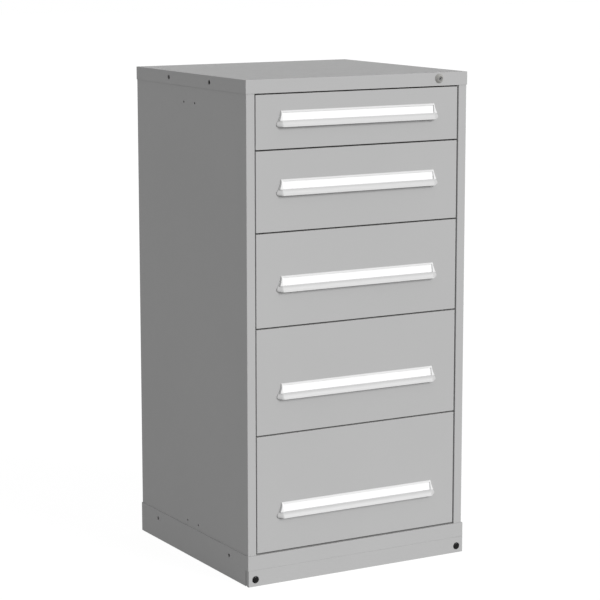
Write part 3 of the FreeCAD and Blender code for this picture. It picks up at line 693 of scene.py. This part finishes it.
def makeCap(drawer, side):
    places = pullPlaces(drawer)
    shape = capShape
    foot, crease, crown = places["foot"], places["crease"], places["crown"]
    labelTop, soft = places["labelTop"], shape["soft"] / 2
    topReach, rimReach = pullShape["topReach"], pullShape["rimReach"]
    creaseReach = pullShape["creaseReach"]
    rings = [
        capSection(places, side, crown, topReach - soft, shape["topRim"] - soft,
                   shape["topWing"] - soft, shape["edge"]),
        capSection(places, side, crown - soft, topReach + soft / 2, shape["topRim"],
                   shape["topWing"], shape["edge"]),
    ]
    for step in range(shape["upSteps"] + 1):
        share = step / shape["upSteps"]
        grown = share ** shape["spread"]
        rim = shape["topRim"] + (shape["midRim"] - shape["topRim"]) * grown
        wing = shape["topWing"] + (shape["midWing"] - shape["topWing"]) * grown
        rings.append(capSection(places, side, labelTop + (crease - labelTop) * share,
                                rimReach + (creaseReach - rimReach) * share, rim, wing,
                                shape["edge"]))
    for step in range(shape["lowSteps"] + 1):
        share = step / shape["lowSteps"]
        height = crease + (foot - crease) * share
        flare = math.sin(math.pi / 2 * share)
        wing = shape["flareWing"] + (shape["lowWing"] - shape["flareWing"]) * flare
        above = min((height - foot) / shape["corner"], 1.0)
        cut = 1 - math.sqrt(1 - (1 - above) ** 2)
        wing -= shape["corner"] * cut * shape["cornerDepth"]
        grown = min(shape["edgeGrowth"] * share, 1.0)
        edge = shape["edge"] + (shape["lowEdge"] - shape["edge"]) * grown
        rings.append(capSection(places, side, height, lipReach(places["reach"], share),
                                shape["lowRim"], wing, edge))
    name = "pull_%d_end_%s" % (drawer, "right" if side > 0 else "left")
    makePiece(name, skinRings(rings, name, softAngle), "pull_end_plastic",
              "drawer_%d" % drawer, "drawer_%d_end_caps" % drawer)


# blank card that lies in the pull's channel
cardShape = {"thickness": 0.45 * mm, "endGap": 0.9 * mm, "edgeGap": 0.15 * mm}


def makeLabel(drawer):
    places = pullPlaces(drawer)
    shape = cardShape
    low, high = places["crease"] + shape["edgeGap"], places["labelTop"] - shape["edgeGap"]
    lowBack = pullShape["creaseReach"] - pullShape["recess"]
    highBack = pullShape["rimReach"] - pullShape["recess"]
    lowFace, highFace = lowBack + shape["thickness"], highBack + shape["thickness"]
    rings = []
    for across in (places["left"] + shape["endGap"], places["right"] - shape["endGap"]):
        outline = ((lowBack, low), (highBack, high), (highFace, high), (lowFace, low))
        rings.append([(across, places["plane"] - ahead, height) for ahead, height in outline])
    name = "label_%d" % drawer
    makePiece(name, skinRings(rings, name, softAngle), "label_card",
              "drawer_%d" % drawer, "drawer_%d_label" % drawer)


for drawer in range(1, drawerCount + 1):
    makePull(drawer)
    makeLabel(drawer)
    makeCap(drawer, -1)
    makeCap(drawer, 1)
print("pulls made:", drawerCount)


# turned pieces, whose axis runs from front to back

# rings for a profile of (radius, depth) turned about an axis along Y
def latheRings(profile, across, height, steps):
    rings = []
    for radius, depth in profile:
        ring = []
        for step in range(steps):
            turn = 2 * math.pi * step / steps
            ring.append((across + radius * math.cos(turn), depth,
                         height + radius * math.sin(turn)))
        rings.append(ring)
    return rings


# base plugs: domed rubber heads in the base cover
plugShape = {
    "head": 11.0 * mm,
    "dome": 3.4 * mm,
    "brim": 0.6 * mm,        # part of the head's height that isn't domed
    "edge": 0.4 * mm,        # bevel at the back of the head
    "tip": 0.4 * mm,         # flat middle of the dome
    "stem": 6.0 * mm,
    "rise": 10,
    "steps": 48,
}


def makePlug(side):
    low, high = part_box("base_cover_plugs")
    shape = plugShape
    face, head, edge = low.y, shape["head"], shape["edge"]
    seat = face + shape["dome"]
    profile = [(shape["stem"], high.y), (shape["stem"], seat), (head - edge, seat),
               (head, seat - edge)]
    for step in range(1, shape["rise"]):
        turn = math.pi / 2 * step / shape["rise"]
        profile.append((head * math.cos(turn),
                        face + (shape["dome"] - shape["brim"]) * (1.0 - math.sin(turn))))
    profile.append((shape["tip"], face))
    rings = latheRings(profile, side * (high.x - head), (low.z + high.z) / 2, shape["steps"])
    name = "base_plug_%s" % ("right" if side > 0 else "left")
    makePiece(name, skinRings(rings, name, softAngle), "black_rubber", "housing",
              "base_cover_plugs")


makePlug(-1)
makePlug(1)
print("base plugs made")

# lock: domed head round a set-back plug with its keyway
lockShape = {
    "head": 14.25 * mm,
    "body": 10.0 * mm,
    "bore": 6.26 * mm,
    "reach": 8.0 * mm,       # how far the head stands out
    "rim": 1.2 * mm,         # straight wall of the head, up from its seat
    "face": 8.2 * mm,        # radius of the flat face
    "bulge": 0.2 * mm,       # how far the slope stands out from a straight cone
    "mouth": 0.8 * mm,       # chamfer of the bore
    "plug": 6.2 * mm,
    "plugEdge": 0.5 * mm,
    "keyWidth": 2.4 * mm,
    "keyLength": 8.4 * mm,
    "keyDepth": 7.0 * mm,
    "keyTurn": 45.0,         # degrees from level
    "slopeSteps": 8,
    "steps": 64,
}


def makeLockHead():
    low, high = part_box("lock_barrel")
    shape = lockShape
    face, back, bore, mouth = low.y, high.y, shape["bore"], shape["mouth"]
    seat = face + shape["reach"]
    edge = seat - shape["rim"]
    profile = [(bore, back), (shape["body"], back), (shape["body"], seat),
               (shape["head"], seat)]
    for step in range(shape["slopeSteps"] + 1):
        share = step / shape["slopeSteps"]
        out = shape["bulge"] * math.sin(math.pi * share)
        profile.append((shape["head"] + (shape["face"] - shape["head"]) * share + out,
                        edge + (face - edge) * share))
    profile += [(bore + mouth, face), (bore, face + mouth)]
    rings = latheRings(profile, (low.x + high.x) / 2, (low.z + high.z) / 2, shape["steps"])
    mesh = skinRings(rings, "lock_bezel", turnedAngle, joined=True)
    makePiece("lock_bezel", mesh, "lock_chrome", "housing", "lock_barrel")


# outlines of the plug's face round its middle: a circle of radius 1, and the turned keyway
def plugOutlines(shape):
    halfLong, halfWide = shape["keyLength"] / 2, shape["keyWidth"] / 2
    turn = math.radians(shape["keyTurn"])
    circle, keyway = [], []
    for step in range(shape["steps"]):
        angle = 2 * math.pi * step / shape["steps"]
        along, over = math.cos(angle), math.sin(angle)
        reach = min(halfLong / max(abs(along), tiny), halfWide / max(abs(over), tiny))
        turned = Vector((along * math.cos(turn) - over * math.sin(turn),
                         along * math.sin(turn) + over * math.cos(turn)))
        circle.append(turned)
        keyway.append(turned * reach)
    return circle, keyway


def makeLockPlug():
    low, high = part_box("lock_plug")
    shape = lockShape
    face, back, edge = low.y, high.y, shape["plugEdge"]
    across, height = (low.x + high.x) / 2, (low.z + high.z) / 2
    circle, keyway = plugOutlines(shape)
    rings = []
    for outline, scale, depth in ((circle, shape["plug"], back),
                                  (circle, shape["plug"], face + edge),
                                  (circle, shape["plug"] - edge, face),
                                  (keyway, 1.0, face),
                                  (keyway, 1.0, face + shape["keyDepth"])):
        rings.append([(across + point.x * scale, depth, height + point.y * scale)
                      for point in outline])
    mesh = skinRings(rings, "lock_core", turnedAngle)
    makePiece("lock_core", mesh, "lock_core_steel", "lock_cylinder", "lock_plug")


makeLockHead()
makeLockPlug()
print("lock made")
